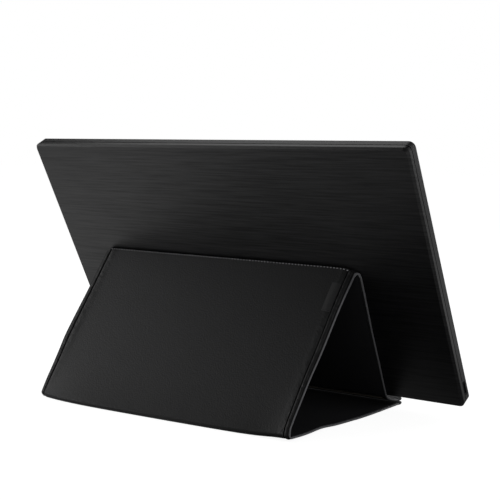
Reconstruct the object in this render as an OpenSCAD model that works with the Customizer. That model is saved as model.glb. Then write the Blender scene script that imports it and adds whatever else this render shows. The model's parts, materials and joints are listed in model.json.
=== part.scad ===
// Portable monitor standing on its fold-up cover.
// X runs across the screen, the screen faces -Y, Z is up and the table is z = 0.
// The origin lies on the table, under the middle of the monitor's lower back edge.

/* [Monitor housing] */
// Thickness of the monitor, front to back
monitor_t = 12.5; // [12:0.1:14]
// Radius of the outline's corners
corner_r = 5; // [4:0.5:8]
// Chamfer round the back face
back_chamfer = 1.8; // [1:0.1:2.4]
// Thickness of the back and front walls
face_wall = 1.5; // [1.2:0.1:1.8]
// Thickness of the side walls
side_wall = 2.2; // [2:0.1:2.8]
// Depth of the rear shell's side, from the back face to the seam
shell_depth = 5.1; // [4.6:0.1:5.4]
// Width of the seam groove between shell and bezel
seam_w = 0.8; // [0.5:0.1:1]
// Length of the shell's tongue inside the bezel, past the seam
tongue_len = 2.4; // [1.8:0.1:2.6]
// Free play between the tongue and the bezel
tongue_play = 0.1; // [0.05:0.05:0.2]
// Chamfer round the front face
front_chamfer = 0.6; // [0.3:0.1:1]
// Height of the ribs inside the rear shell
rib_h = 1.2; // [0.8:0.1:1.4]

/* [Screen] */
// Width of the bezel's window
window_w = 344.6; // [300:0.1:390]
// Height of the bezel's window
window_h = 194; // [170:0.1:220]
// Width of the bezel on each side of the window
side_border = 18.8; // [14:0.1:24]
// Width of the bezel over the window
top_border = 16.9; // [14:0.1:24]
// Width of the bezel under the window
low_border = 26; // [25:0.1:32]
// Bevel round the window
window_bevel = 1; // [0.6:0.1:1.4]
// How far the panel reaches past the window on each side
panel_border = 4; // [3:0.5:5]
// Width of the frame moulded round the panel's films
panel_rim = 3; // [2:0.5:4]
// Thickness of the tape that holds the panel to the bezel
tape_t = 0.2; // [0.1:0.05:0.3]
// Thickness of the front glass with its polariser
glass_t = 0.7; // [0.5:0.1:0.8]
// Thickness of the transistor glass
tft_t = 0.5; // [0.4:0.1:0.6]
// Thickness of the diffuser films
films_t = 0.5; // [0.3:0.1:0.6]
// Thickness of the light guide
guide_t = 0.6; // [0.4:0.1:0.7]
// Thickness of the reflector sheet
reflector_t = 0.2; // [0.1:0.05:0.2]
// Thickness of the panel's metal back plate
plate_t = 0.5; // [0.3:0.1:0.6]

/* [Electronics] */
// Width of the main board
board_w = 70; // [60:1:80]
// Height of the main board
board_h = 50; // [44:1:60]
// Thickness of the circuit boards
board_t = 1; // [0.8:0.1:1.2]
// Depth of the main board's rear face behind the shell's back face
board_back = 5.4; // [5:0.1:5.6]
// Height of the socket's centre over the monitor's lower edge
port_z = 15; // [13:0.5:18]
// Width of the socket's mouth
port_w = 12.2; // [11:0.1:13]
// Thickness of the socket
port_t = 2.8; // [2.4:0.1:3]
// Depth of the socket into the monitor
port_len = 8.6; // [7:0.1:9]
// Distance of the power key from the monitor's side
key_in = 26.1; // [22:0.1:36]
// Height of the power key over the monitor's lower edge
key_z = 12; // [11:0.5:13]
// Radius of the power key
key_r = 3; // [2.5:0.1:3.5]
// How far the power key stands out of the bezel
key_proud = 0.4; // [0.3:0.05:0.6]
// Travel of the power key
key_travel = 0.5; // [0.3:0.05:0.6]

/* [Cover] */
// Width of the cover
cover_w = 266; // [240:1:280]
// Place of the cover's middle from the monitor's middle
cover_shift = 10; // [-20:1:20]
// Thickness of the leatherette skin
skin_t = 0.7; // [0.5:0.1:0.9]
// Thickness of the stiffening boards
board_stiff_t = 1; // [0.8:0.1:1.2]
// Thickness of the lining
lining_t = 0.5; // [0.4:0.1:0.7]
// Width of the turned edge along both sides
edge_w = 5; // [4:0.5:7]
// Width of the creases beside the turned edge
crease_w = 0.7; // [0.4:0.1:0.9]
// Depth of the creases
crease_deep = 0.3; // [0.2:0.05:0.4]
// Length of the sewn-through strip beside each fold
fold_tail = 3.5; // [2.5:0.5:5]
// Running gap between pieces that move on each other
gap = 0.3; // [0.2:0.05:0.4]

/* [Stand] */
// Lean of the monitor from upright
lean = 28; // [24:0.5:31]
// Height of the monitor's lower edge over the table
edge_z = 9.7; // [9:0.1:10.5]
// Reach of the base in front of the monitor's lower back edge
base_front = 20; // [18:0.5:24]
// Reach of the base behind the monitor's lower back edge
base_back = 154.5; // [144:0.1:164]
// Height of the cover's top fold
top_z = 123.6; // [117:0.1:129]
// Distance along the monitor's back from its lower edge down to the crook
crook_drop = 1; // [1:0.1:1.6]
// Distance of the ledge's tip behind the base's tip
tip_setback = 1; // [0.5:0.5:3]

/* [Cover fittings] */
// Number of magnets in the ledge
magnet_count = 4; // [2:1:5]
// Length of a magnet
magnet_l = 30; // [20:1:36]
// Width of a magnet
magnet_w = 8; // [6:0.5:9]
// Width of the plain woven label
label_w = 9; // [6:0.5:12]
// Length of the plain woven label
label_l = 28; // [20:1:32]
// Thickness of the label
label_t = 0.4; // [0.3:0.05:0.6]
// Distance of the label from the cover's side
label_in = 9; // [8:0.5:16]
// Distance of the label's upper end from the top fold
label_down = 8; // [4:0.5:16]

/* [Hidden] */
$fn = 48;
EPS = 0.01;

// Outline of the monitor round its window
monitor_w = window_w + 2 * side_border;
monitor_h = low_border + window_h + top_border;
window_z = low_border;
key_x = monitor_w / 2 - key_in;

// Depths inside the monitor, y = 0 at its back face and negative towards the screen
bezel_back = -shell_depth - seam_w;
bezel_inside = -monitor_t + face_wall;
tongue_front = bezel_back - tongue_len;
tongue_in = side_wall / 2;
glass_front = bezel_inside + tape_t;
tft_front = glass_front + glass_t;
films_front = tft_front + tft_t;
guide_front = films_front + films_t;
reflector_front = guide_front + guide_t;
plate_front = reflector_front + reflector_t;
plate_back = plate_front + plate_t;
board_rear = -board_back;
board_front = board_rear - board_t;
ribbon_t = 0.2;
rib_t = 0.8;
rib_pitch = monitor_w / 6;
window_land = 0.5;
key_board_rear = board_front - ribbon_t;
key_board_front = key_board_rear - board_t;

// Places across the monitor
panel_w = window_w + 2 * panel_border;
panel_h = window_h + 2 * panel_border;
panel_z = window_z - panel_border;
inner_x = monitor_w / 2 - side_wall;
board_x = -inner_x + 0.5;
board_z = side_wall + 3;
driver_x0 = board_x + board_w + 8;
driver_x1 = key_x - 22;
driver_z = side_wall + 4;
driver_h = panel_z - panel_rim - driver_z - 1;
key_board_w = 32;
key_board_h = 12;
field_z = board_z + board_h + 8;
field_h = monitor_h - field_z;

// Board screws, their holes and their bosses
screw_r = 0.9;
pilot_r = 0.95;
hole_r = 1.15;
head_r = 1.9;
head_t = 0.8;
boss_r = 2.5;
boss_gap = 0.6;

// The cover's fold lines in the side plane, as [y, z]
sheet_t = skin_t + board_stiff_t + lining_t;
fold_r = sheet_t + gap;
crook_r = sheet_t / 2;
along = [sin(lean), cos(lean)];
away = [cos(lean), -sin(lean)];
edge_at = [0, edge_z];
rear_axis = [base_back - fold_r, fold_r];
top_axis_z = top_z - fold_r;
top_axis = [(gap + fold_r + (top_axis_z - edge_z) * along[0]) / along[1], top_axis_z];
crook_axis = edge_at - crook_drop * along + (gap + crook_r) * away;
tip_at = [-base_front + tip_setback, sheet_t + gap + crook_r];

// Turn and length of each panel, seen from its fold
rear_turn = atan2(top_axis[1] - rear_axis[1], top_axis[0] - rear_axis[0]);
rear_len = norm(top_axis - rear_axis);
leg_turn = 270 - lean;
leg_len = (top_axis - crook_axis) * along;
ledge_turn = 180 + atan2(crook_axis[1] - tip_at[1], crook_axis[0] - tip_at[0]);
ledge_len = norm(tip_at - crook_axis);
base_len = rear_axis[0] + base_front;

// ---------------------------------------------------------------- helpers

module block(x, y, z) translate([x[0], y[0], z[0]]) cube([x[1] - x[0], y[1] - y[0], z[1] - z[0]]);

module in_monitor() translate([0, 0, edge_z]) rotate([-lean, 0, 0]) children();

module rounded(w, h, r) {
    translate([r, 0]) square([w - 2 * r, h]);
    translate([0, r]) square([w, h - 2 * r]);
    for (x = [r, w - r], z = [r, h - r]) translate([x, z]) circle(r);
}

// A plate of the monitor's outline, drawn in by inset, between two depths
module slab(front, back, inset) translate([0, back, 0]) rotate([90, 0, 0])
    linear_extrude(back - front) translate([-monitor_w / 2 + inset, inset])
        rounded(monitor_w - 2 * inset, monitor_h - 2 * inset, max(corner_r - inset, 1));

// A post or hole along the monitor's depth
module post(x, z, front, back, r) translate([x, back, z]) rotate([90, 0, 0])
    cylinder(h = back - front, r = r);

// Places of the snap hooks: [x, z, turn about the depth axis]
hook_w = 8;
hook_t = 1;
hook_nose = 0.7;
hook_play = 0.4;
hook_pitch = monitor_w / 5.4;
hook_places = concat(
    [for (s = [-2:2]) [s * hook_pitch, monitor_h - side_wall, 0]],
    [for (s = [-1, 1]) [s * hook_pitch, side_wall, 180]],
    [for (s = [0, 1]) [inner_x, (0.4 + 0.35 * s) * monitor_h, -90]],
    [for (s = [0, 1]) [-inner_x, (0.4 + 0.35 * s) * monitor_h, 90]]);
module at_hooks() for (p = hook_places) translate([p[0], 0, p[1]]) rotate([0, -p[2], 0]) children();

// Fold frames: local +Y runs along the panel, and the skin is on the side of local -Z
module at_fold(axis, turn) translate([cover_shift, axis[0], axis[1]]) rotate([turn, 0, 0]) children();
module at_rear() at_fold(rear_axis, rear_turn) children();
module at_base() at_fold(rear_axis, 0) children();
module at_leg() at_fold(top_axis, leg_turn) children();
module at_ledge() at_fold(crook_axis, ledge_turn) children();

half_w = cover_w / 2;
body_half = half_w - edge_w;
skin_out = -fold_r;
board_out = skin_out + skin_t;
lining_out = board_out + board_stiff_t;
sheet_in = lining_out + lining_t;
ledge_skin_out = -crook_r;
ledge_board_out = ledge_skin_out + skin_t;
ledge_lining_out = ledge_board_out + board_stiff_t;

module spine_bar(r) rotate([0, 90, 0]) cylinder(h = cover_w, r = r, center = true);

// One layer of a panel, hollowed at its start round the fold that it turns on
module layer(y, z, hollow_r = 0) difference() {
    block([-body_half, body_half], y, z);
    if (hollow_r > 0) spine_bar(hollow_r);
}

// Turned edges along both sides of a panel, with two creases on the skin side
module turned_edges(y, outer, hollow_r = 0) difference() {
    for (side = [0, 1]) mirror([side, 0, 0]) translate([body_half, y[1], 0]) rotate([90, 0, 0])
        linear_extrude(y[1] - y[0]) polygon([
            [0, outer + crease_deep], [crease_w, outer],
            [edge_w - 3 * crease_w, outer], [edge_w - 2.5 * crease_w, outer + crease_deep],
            [edge_w - 2 * crease_w, outer], [edge_w - 0.4, outer], [edge_w, outer + 0.4],
            [edge_w, outer + sheet_t - 0.4], [edge_w - 0.4, outer + sheet_t], [0, outer + sheet_t]]);
    if (hollow_r > 0) spine_bar(hollow_r);
}

// The round fold itself, with the sewn-through strip that joins it to its panel
module fold_spine(r, tail_y, outer) {
    spine_bar(r);
    block([-half_w, half_w], tail_y, [outer, outer + sheet_t]);
}

// Places of the magnets and of their keepers along the ledge
magnet_pitch = 2 * body_half / magnet_count;
magnet_y = ledge_len - fold_tail - magnet_w - 2;
pocket_play = 0.1;
module at_magnets() for (i = [0:magnet_count - 1])
    translate([-body_half + (i + 0.5) * magnet_pitch - magnet_l / 2, 0, 0]) children();

// ---------------------------------------------------------------- monitor housing

module rear_shell() color("#1d1d1f") in_monitor() difference() {
    union() {
        difference() {
            union() {
                hull() {
                    slab(-shell_depth, -back_chamfer, 0);
                    slab(-EPS, 0, back_chamfer);
                }
                slab(tongue_front, -shell_depth, tongue_in + tongue_play);
            }
            slab(tongue_front - 1, -face_wall, side_wall);
        }
        for (i = [-2:2]) let (x = i * rib_pitch)
            block([x - rib_t / 2, x + rib_t / 2], [-face_wall - rib_h, -face_wall],
                [field_z, monitor_h - side_wall]);
        for (i = [1:3]) let (z = field_z + i * field_h / 4)
            block([-inner_x, inner_x], [-face_wall - rib_h, -face_wall], [z - rib_t / 2, z + rib_t / 2]);
        for (p = board_holes) post(p[0], p[1], board_rear, -face_wall, boss_r);
    }
    for (p = board_holes) post(p[0], p[1], board_rear - 1, -face_wall - boss_gap, pilot_r);
    at_hooks() block([-hook_w / 2 - hook_play, hook_w / 2 + hook_play],
        [tongue_front + 0.7, -shell_depth - 0.3], [-1, side_wall]);
    port_mouth(0.2);
}

module front_bezel() color("#232325") in_monitor() {
    difference() {
        hull() {
            slab(-monitor_t + front_chamfer, bezel_back, 0);
            slab(-monitor_t, -monitor_t + EPS, front_chamfer);
        }
        slab(bezel_inside, bezel_back + 1, side_wall);
        slab(tongue_front - tongue_play, bezel_back + 1, tongue_in);
        hull() {
            block([-window_w / 2 - window_bevel, window_w / 2 + window_bevel], [-monitor_t - EPS, -monitor_t],
                [window_z - window_bevel, window_z + window_h + window_bevel]);
            block([-window_w / 2, window_w / 2], [bezel_inside - window_land, bezel_inside + 1],
                [window_z, window_z + window_h]);
        }
        post(key_x, key_z, -monitor_t - 1, bezel_inside + 1, key_r + key_play);
        post(pipe_x, key_z, -monitor_t - 1, bezel_inside + 1, pipe_r + pipe_play);
        port_mouth(0);
    }
    at_hooks() {
        block([-hook_w / 2, hook_w / 2], [bezel_inside - EPS, -shell_depth + hook_play],
            [-hook_t - 0.1, -0.1]);
        block([-hook_w / 2, hook_w / 2], [tongue_front + 1, -shell_depth - 0.6], [-0.2, hook_nose]);
    }
    for (p = key_posts) difference() {
        post(p[0], p[1], bezel_inside - EPS, key_board_front, key_post_r);
        post(p[0], p[1], bezel_inside + boss_gap, key_board_front + 1, pilot_r);
    }
}

// ---------------------------------------------------------------- screen

// A rectangular sheet of the panel, drawn in by inset
module panel_sheet(front, back, inset = 0) block([-panel_w / 2 + inset, panel_w / 2 - inset], [front, back],
    [panel_z + inset, panel_z + panel_h - inset]);

module bezel_tape() color("#303030") in_monitor() difference() {
    panel_sheet(bezel_inside, glass_front, 0.4);
    panel_sheet(bezel_inside - 1, glass_front + 1, panel_border - 0.6);
}

module front_glass() color("#0b0c0f") in_monitor() panel_sheet(glass_front, tft_front);

module transistor_glass() color("#10151c") in_monitor() panel_sheet(tft_front, films_front);

module diffuser_films() color("#f2f2ee") in_monitor() panel_sheet(films_front, guide_front, 1);

module light_guide() color("#dff0f2") in_monitor() difference() {
    panel_sheet(guide_front, reflector_front, 1);
    block([-panel_w, panel_w], [guide_front - 1, reflector_front + 1], [0, panel_z + 1 + strip_h + 0.2]);
}

module reflector_sheet() color("white") in_monitor() panel_sheet(reflector_front, plate_front, 1);

strip_h = 2.4;
led_pitch = 12;
led_count = floor((panel_w - 8) / led_pitch);
module backlight_strip() color("#e8e2c8") in_monitor() difference() {
    block([-panel_w / 2 + 1, panel_w / 2 - 1], [guide_front, reflector_front],
        [panel_z + 1, panel_z + 1 + strip_h]);
    for (i = [0:led_count - 1]) translate([(i - (led_count - 1) / 2) * led_pitch, 0, 0])
        block([2.5, led_pitch - 2.5], [guide_front - 1, reflector_front + 1],
            [panel_z + strip_h / 2 + 1, panel_z + strip_h + 2]);
}

module panel_frame() color("#e9e9e6") in_monitor() difference() {
    panel_sheet(films_front, plate_front, -panel_rim);
    panel_sheet(films_front - 1, plate_front + 1, 0.8);
}

// Pressed recesses that stiffen the metal back plate
recess_w = 60;
recess_h = 40;
module panel_back_plate() color("#b9bcc0") in_monitor() difference() {
    panel_sheet(plate_front, plate_back, -panel_rim);
    for (x = [-1, 1], z = [0.3, 0.7])
        translate([x * panel_w / 4, plate_front + plate_t / 2, panel_z + z * panel_h])
            block([-recess_w / 2, recess_w / 2], [0, plate_t], [-recess_h / 2, recess_h / 2]);
}

module driver_board() color("#1f5a3a") in_monitor() {
    block([driver_x0, driver_x1], [tft_front, tft_front + board_t], [driver_z, driver_z + driver_h]);
    for (i = [1:4]) translate([driver_x0 + i * (driver_x1 - driver_x0) / 5, 0, 0])
        block([-9, 9], [tft_front + board_t, tft_front + board_t + 0.8],
            [driver_z + 1.5, driver_z + driver_h - 2]);
    for (i = [0:5]) translate([driver_x0 + (i + 0.5) * (driver_x1 - driver_x0) / 6, 0, 0])
        block([-12, 12], [tft_front, tft_front + 0.15], [driver_z + driver_h, panel_z]);
}

// ---------------------------------------------------------------- electronics

board_holes = [for (x = [14, board_w - 12], z = [4, board_h - 4]) [board_x + x, board_z + z]];
key_posts = [for (s = [-1, 1]) [key_x + s * (key_board_w / 2 - 3), key_z]];
key_post_r = 2;
key_play = 0.2;
key_flange = 1.2;
pipe_r = 0.9;
pipe_x = key_x + 8;
pipe_play = 0.1;
lamp_h = 0.6;
port_front = board_front - port_t;
port_wall = 0.35;
port_recess = 0.6;
port_x = -monitor_w / 2 + port_recess;
port_lip = 0.3;

// The socket's stadium-shaped mouth through the monitor's side, drawn out by grow
module port_mouth(grow) translate([-inner_x + 0.5, board_front - port_t / 2, port_z]) rotate([0, -90, 0])
    linear_extrude(side_wall + 2) {
        square([port_w - port_t + 1, port_t + 2 * (port_lip + grow)], center = true);
        for (s = [-1, 1]) translate([s * (port_w - port_t + 1) / 2, 0]) circle(port_t / 2 + port_lip + grow);
    }

module main_board() color("#1f5a3a") in_monitor() difference() {
    block([board_x, board_x + board_w], [board_front, board_rear], [board_z, board_z + board_h]);
    for (p = board_holes) post(p[0], p[1], board_front - 1, board_rear + 1, hole_r);
}

// Chips of the main board: [x, z, width, height, thickness]
chips = [
    [24, 26, 14, 14, 1.2], [44, 30, 9, 9, 1], [46, 12, 7, 5, 0.9],
    [26, 10, 5, 5, 0.9], [58, 34, 4, 6, 1.4]];
module board_chips() color("#18181a") in_monitor() for (c = chips)
    translate([board_x + c[0], board_rear, board_z + c[1]]) block([0, c[2]], [0, c[4]], [0, c[3]]);

// Sheet-metal can over the largest chip
can_w = 18;
can_h = 2;
can_wall = 0.3;
module shield_can() color("#b4b6b8") in_monitor()
    translate([board_x + chips[0][0] - 2, board_rear, board_z + chips[0][1] - 2]) difference() {
        block([0, can_w], [0, can_h], [0, can_w]);
        block([can_wall, can_w - can_wall], [-1, can_h - can_wall], [can_wall, can_w - can_wall]);
    }

// The room inside the socket's metal shell, between two places across the monitor
module port_inside(x) block(x, [port_front + port_wall, board_front - port_wall],
    [port_z - port_w / 2 + port_wall, port_z + port_w / 2 - port_wall]);

module usb_socket_shell() color("#c9cbce") in_monitor() difference() {
    block([port_x, port_x + port_len], [port_front, board_front], [port_z - port_w / 2, port_z + port_w / 2]);
    port_inside([port_x - 1, port_x + port_len - 0.6]);
}

module usb_socket_tongue() color("#16161a") in_monitor() {
    port_inside([port_x + port_len - 2, port_x + port_len - 0.6]);
    for (s = [[-4.6, 1.4], [2.2, 4.9]])
        block([port_x + 1.4, port_x + port_len - 2], [port_front + 1, port_front + 1.6],
            [port_z + s[0], port_z + s[1]]);
}

// Screws of both boards, heads towards the part that each one is driven from
module board_screws() color("#8d8f92") in_monitor() {
    for (p = board_holes) {
        post(p[0], p[1], board_front - head_t, board_front, head_r);
        post(p[0], p[1], board_front, -face_wall - boss_gap - 0.7, screw_r);
    }
    for (p = key_posts) {
        post(p[0], p[1], key_board_rear, key_board_rear + head_t, head_r);
        post(p[0], p[1], bezel_inside + boss_gap + 0.7, key_board_rear, screw_r);
    }
}

// Flat ribbon from the main board's front face to the driver board's rear face
module panel_ribbon() color("#d8d0b8") in_monitor() translate([0, 0, driver_z + 5])
    linear_extrude(driver_h - 5.5) polygon([
        [board_x + board_w - 8, board_front], [board_x + board_w - 8, board_front - ribbon_t],
        [board_x + board_w, board_front - ribbon_t], [driver_x0 + 0.5, tft_front + board_t],
        [driver_x0 + 4, tft_front + board_t], [driver_x0 + 4, tft_front + board_t + ribbon_t],
        [driver_x0 + 0.7, tft_front + board_t + ribbon_t], [board_x + board_w + 0.2, board_front]]);

module key_ribbon() color("#d8d0b8") in_monitor()
    block([board_x + board_w - 8, key_x - key_board_w / 2 + 2], [key_board_rear, board_front],
        [board_z + 0.5, board_z + 4.5]);

module key_board() color("#1f5a3a") in_monitor() difference() {
    union() {
        block([key_x - key_board_w / 2, key_x + key_board_w / 2], [key_board_front, key_board_rear],
            [key_z - key_board_h / 2, key_z + key_board_h / 2]);
        block([pipe_x - 0.8, pipe_x + 0.8], [key_board_front - lamp_h, key_board_front],
            [key_z - 0.4, key_z + 0.4]);
    }
    for (p = key_posts) post(p[0], p[1], key_board_front - 1, key_board_rear + 1, hole_r);
}

key_flange_back = bezel_inside + 0.65;
module key_switch() color("#2a2a2e") in_monitor() {
    block([key_x - 2.6, key_x + 2.6], [key_board_front - 1, key_board_front], [key_z - 2.6, key_z + 2.6]);
    post(key_x, key_z, key_flange_back + key_travel + 0.1, key_board_front - 1, 1.4);
}

module light_pipe() color("#dfe8ea") in_monitor()
    post(pipe_x, key_z, -monitor_t, key_board_front - lamp_h - 0.1, pipe_r);

// Foam between panel and shell, in the fields between the ribs
foam_w = 20;
foam_h = 16;
module foam_pads() color("#3a3a3e") in_monitor() for (i = [-1.5, 1.5], j = [0.5:3.5])
    translate([i * rib_pitch, 0, field_z + j * field_h / 4])
        block([-foam_w / 2, foam_w / 2], [plate_back, -face_wall], [-foam_h / 2, foam_h / 2]);

module power_key() color("#3a3a3d") in_monitor() {
    post(key_x, key_z, -monitor_t - key_proud, bezel_inside + 0.05, key_r);
    post(key_x, key_z, bezel_inside + 0.05, key_flange_back, key_r + key_flange);
}

// ---------------------------------------------------------------- cover: base

base_y = [-base_len + crook_r + fold_tail, -fold_tail];

module base_skin() color("#2b2b2d") at_base() layer(base_y, [skin_out, board_out]);

module base_stiffener() color("#5b564d") at_base() difference() {
    layer(base_y, [board_out, lining_out]);
    base_pockets(0);
}

module base_lining() color("#141416") at_base() layer(base_y, [lining_out, sheet_in]);

module base_edges() color("#262628") at_base() turned_edges(base_y, skin_out);

module base_hem() color("#262628") at_base() translate([0, -base_len + crook_r, crook_r - fold_r]) {
    spine_bar(crook_r);
    block([-half_w, half_w], [0, fold_tail], [-crook_r, crook_r]);
}

keeper_y = tip_at[0] + ledge_len - magnet_y - magnet_w - rear_axis[0];
module base_pockets(shrink) at_magnets()
    block([shrink, magnet_l - shrink], [keeper_y + shrink, keeper_y + magnet_w - shrink],
        [board_out, lining_out]);

module base_keepers() color("#a9acb0") at_base() base_pockets(pocket_play);

module rear_fold_spine() color("#2b2b2d") at_base() fold_spine(fold_r, [-fold_tail, 0], skin_out);

// ---------------------------------------------------------------- cover: rear panel

rear_y = [0, rear_len - fold_tail];

module rear_skin() color("#2b2b2d") at_rear() layer(rear_y, [skin_out, board_out], fold_r + gap);

module rear_stiffener() color("#5b564d") at_rear() layer(rear_y, [board_out, lining_out], fold_r + gap);

module rear_lining() color("#141416") at_rear() layer(rear_y, [lining_out, sheet_in], fold_r + gap);

module rear_edges() color("#262628") at_rear() turned_edges(rear_y, skin_out, fold_r + gap);

module woven_label() color("#303034") at_rear()
    translate([label_in - half_w, rear_len - label_down - label_l, skin_out])
        block([0, label_w], [0, label_l], [-label_t, 0]);

module top_fold_spine() color("#2b2b2d") at_rear() translate([0, rear_len, 0])
    fold_spine(fold_r, [-fold_tail, 0], skin_out);

// ---------------------------------------------------------------- cover: leg

leg_y = [0, leg_len - fold_tail];

module leg_skin() color("#202022") at_leg() layer(leg_y, [skin_out, board_out], fold_r + gap);

module leg_stiffener() color("#5b564d") at_leg() layer(leg_y, [board_out, lining_out], fold_r + gap);

module leg_lining() color("#141416") at_leg() layer(leg_y, [lining_out, sheet_in], fold_r + gap);

module leg_edges() color("#262628") at_leg() turned_edges(leg_y, skin_out, fold_r + gap);

module crook_spine() color("#202022") at_leg() translate([0, leg_len, crook_r - fold_r])
    fold_spine(crook_r, [-fold_tail, 0], ledge_skin_out);

// ---------------------------------------------------------------- cover: ledge

ledge_y = [0, ledge_len - fold_tail];

module ledge_skin() color("#202022") at_ledge()
    layer(ledge_y, [ledge_skin_out, ledge_board_out], crook_r + gap);

module ledge_stiffener() color("#5b564d") at_ledge() difference() {
    layer(ledge_y, [ledge_board_out, ledge_lining_out], crook_r + gap);
    ledge_pockets(0);
}

module ledge_lining() color("#141416") at_ledge()
    layer(ledge_y, [ledge_lining_out, ledge_skin_out + sheet_t], crook_r + gap);

module ledge_edges() color("#262628") at_ledge() turned_edges(ledge_y, ledge_skin_out, crook_r + gap);

module ledge_hem() color("#262628") at_ledge() translate([0, ledge_len, 0])
    fold_spine(crook_r, [-fold_tail, 0], ledge_skin_out);

module ledge_pockets(shrink) at_magnets()
    block([shrink, magnet_l - shrink], [magnet_y + shrink, magnet_y + magnet_w - shrink],
        [ledge_board_out, ledge_lining_out]);

module ledge_magnets() color("#9b9ea3") at_ledge() ledge_pockets(pocket_play);

rear_shell();
front_bezel();
bezel_tape();
front_glass();
transistor_glass();
diffuser_films();
light_guide();
reflector_sheet();
backlight_strip();
panel_frame();
panel_back_plate();
driver_board();
main_board();
board_chips();
shield_can();
usb_socket_shell();
usb_socket_tongue();
board_screws();
panel_ribbon();
key_ribbon();
key_board();
key_switch();
light_pipe();
foam_pads();
power_key();
base_skin();
base_stiffener();
base_lining();
base_edges();
base_hem();
base_keepers();
rear_fold_spine();
rear_skin();
rear_stiffener();
rear_lining();
rear_edges();
woven_label();
top_fold_spine();
leg_skin();
leg_stiffener();
leg_lining();
leg_edges();
crook_spine();
ledge_skin();
ledge_stiffener();
ledge_lining();
ledge_edges();
ledge_hem();
ledge_magnets();
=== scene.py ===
import json
from math import atan2, cos, degrees, dist, exp, pi, radians, sin, tan

import bmesh
import bpy
from mathutils import Matrix, Vector


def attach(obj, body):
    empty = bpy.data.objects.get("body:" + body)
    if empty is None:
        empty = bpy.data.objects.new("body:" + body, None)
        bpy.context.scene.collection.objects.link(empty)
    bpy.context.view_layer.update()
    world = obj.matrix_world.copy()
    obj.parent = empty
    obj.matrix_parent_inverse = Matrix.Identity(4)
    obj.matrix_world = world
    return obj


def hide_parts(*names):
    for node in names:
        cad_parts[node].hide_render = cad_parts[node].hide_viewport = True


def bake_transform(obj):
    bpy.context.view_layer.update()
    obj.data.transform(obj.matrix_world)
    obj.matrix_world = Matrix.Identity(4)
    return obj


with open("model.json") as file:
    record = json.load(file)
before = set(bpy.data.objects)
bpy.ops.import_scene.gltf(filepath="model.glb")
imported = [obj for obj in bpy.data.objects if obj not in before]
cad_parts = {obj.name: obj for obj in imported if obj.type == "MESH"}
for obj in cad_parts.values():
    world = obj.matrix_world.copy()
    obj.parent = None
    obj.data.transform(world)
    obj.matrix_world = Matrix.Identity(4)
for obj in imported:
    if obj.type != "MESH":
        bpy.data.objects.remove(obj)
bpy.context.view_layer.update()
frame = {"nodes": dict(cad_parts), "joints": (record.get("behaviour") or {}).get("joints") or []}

mm = 0.001
scene = bpy.context.scene
nodes = frame["nodes"]

lean = radians(28)  # the screen's tilt from upright
middleX = 10.0  # the cover's middle, from the monitor's middle
halfCover = 133.0
halfSheet = 1.1  # half the thickness of skin, board and lining together
foldRadius = 2.5  # from a fold's axis to the skin's outer face
sheetMiddle = halfSheet - foldRadius  # the middle of a panel, seen from its fold's axis
ledgeTip = (-19.0, 3.6)  # front edge of the ledge, [y, z] in mm
baseFront = -20.0

# Axes of the folds in the side plane, [y, z] in mm, as the frame's joints have them
folds = {joint["name"].removesuffix("_fold"): (joint["pos_m"][1] / mm, joint["pos_m"][2] / mm)
         for joint in frame["joints"] if joint["name"].endswith("_fold")}
rearAxis, topAxis, crookAxis = folds["rear"], folds["top"], folds["crook"]


def turnTowards(start, end):
    return degrees(atan2(end[1] - start[1], end[0] - start[0])) % 360


# How far each panel is turned up from the table, and its length. The base lies flat
turns = {"rear": turnTowards(rearAxis, topAxis), "leg": 270 - degrees(lean),
         "ledge": turnTowards(crookAxis, ledgeTip)}
lengths = {"base": rearAxis[0] - baseFront, "rear": dist(rearAxis, topAxis),
           "leg": (topAxis[0] - crookAxis[0]) * sin(lean) + (topAxis[1] - crookAxis[1]) * cos(lean),
           "ledge": dist(crookAxis, ledgeTip)}


def clamp(value, highest=1.0):
    return min(max(value, 0.0), highest)


def linear(hexText, alpha=1.0):
    channels = [int(hexText[i:i + 2], 16) / 255 for i in (1, 3, 5)]
    return [c / 12.92 if c <= 0.04045 else ((c + 0.055) / 1.055) ** 2.4 for c in channels] + [alpha]


def addNode(tree, kind, values=None, links=None, **settings):
    node = tree.nodes.new(kind)
    for key, value in settings.items():
        setattr(node, key, value)
    for key, value in (values or {}).items():
        node.inputs[key].default_value = value
    for key, socket in (links or {}).items():
        tree.links.new(socket, node.inputs[key])
    return node


def startMaterial(name, surfaceValues):
    material = bpy.data.materials.new(name)
    material.use_nodes = True
    tree = material.node_tree
    surface = tree.nodes["Principled BSDF"]
    for key, value in surfaceValues.items():
        surface.inputs[key].default_value = value
    place = addNode(tree, "ShaderNodeTexCoord").outputs["Object"]
    return material, tree, surface, place


def blendColours(tree, factor, low, high):
    return addNode(tree, "ShaderNodeMix", {6: linear(low), 7: linear(high)}, {0: factor},
                   data_type="RGBA").outputs[2]


# Everyday finish for the small inner parts: two close tones and a fine bump
def simpleFinish(name, low, high, roughness, grain, bump=0.2, metallic=0.0, **more):
    material, tree, surface, place = startMaterial(
        name, {"Roughness": roughness, "Metallic": metallic, **more})
    noise = addNode(tree, "ShaderNodeTexNoise", {"Scale": 1 / (grain * mm), "Detail": 3.0},
                    {"Vector": place})
    tree.links.new(blendColours(tree, noise.outputs["Fac"], low, high), surface.inputs["Base Color"])
    raised = addNode(tree, "ShaderNodeBump", {"Strength": bump, "Distance": 0.05 * mm},
                     {"Height": noise.outputs["Fac"]})
    tree.links.new(raised.outputs["Normal"], surface.inputs["Normal"])
    return material


# Moulded ABS with a fine hairline along the screen's width: satin, streaks under a grazing light.
# Its lines are drawn 1.3 mm apart, coarser than the real 0.2 mm, so that they show
hairline = {"low": "#0b0b0c", "high": "#151517", "length": 45.0, "depth": 25.0, "pitch": 1.3,
            "roughness": (0.33, 0.45), "gloss": (0.37, 0.63)}


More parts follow.
